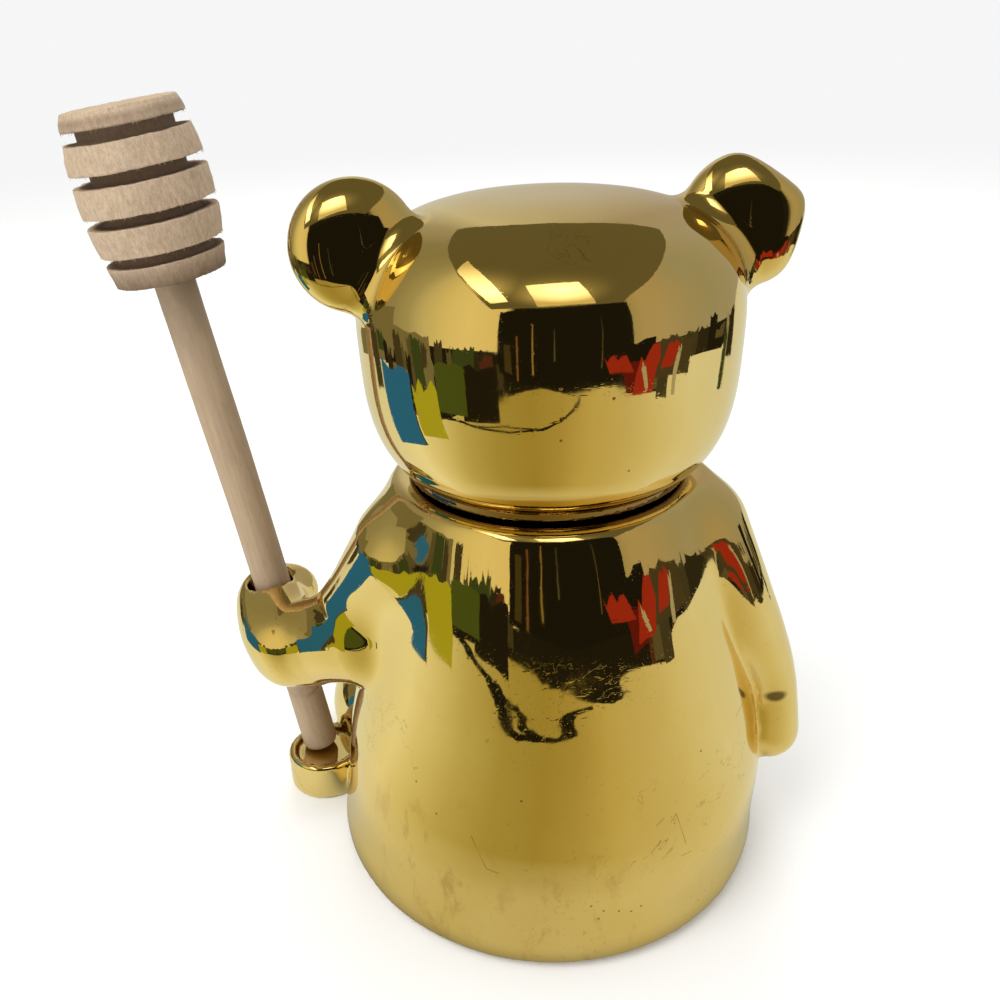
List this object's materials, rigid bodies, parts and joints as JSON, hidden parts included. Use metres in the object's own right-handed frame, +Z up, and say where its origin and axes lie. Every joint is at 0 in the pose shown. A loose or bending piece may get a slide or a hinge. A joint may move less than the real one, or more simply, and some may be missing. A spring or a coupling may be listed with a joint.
{
  "type": "bear honey pot",
  "caption": "Glazed seated bear pot for honey, with a lift-off head lid and a wooden honey dipper standing in its paw.",
  "frame": {"origin": "middle of the round base of the pot, on its underside", "axes": "+Z up; -Y is the way the bear faces, so +Y points at its back; +X is towards the bear's left paw, the one that holds the dipper"},
  "size_m": [0.1365, 0.1059, 0.1612],
  "materials": {
    "gold_glaze": "mirror gloss metallic glaze",
    "pale_wood": "rough end grain",
    "handle_wood": "smooth oiled"
  },
  "bodies": {
    "pot": {"pot_body": "gold_glaze"},
    "lid": {"head_lid": "gold_glaze"},
    "dipper": {"dipper_head": "pale_wood", "dipper_handle": "handle_wood"}
  },
  "joints": [
    {"name": "lid_lift", "type": "slide", "parent": "pot", "child": "lid", "axis": [0, 0, 1], "range_m": [0, 0.04]},
    {"name": "dipper_lift", "type": "slide", "parent": "pot", "child": "dipper", "axis": [0.1405, 0, 0.9901], "range_m": [0, 0.06]}
  ]
}
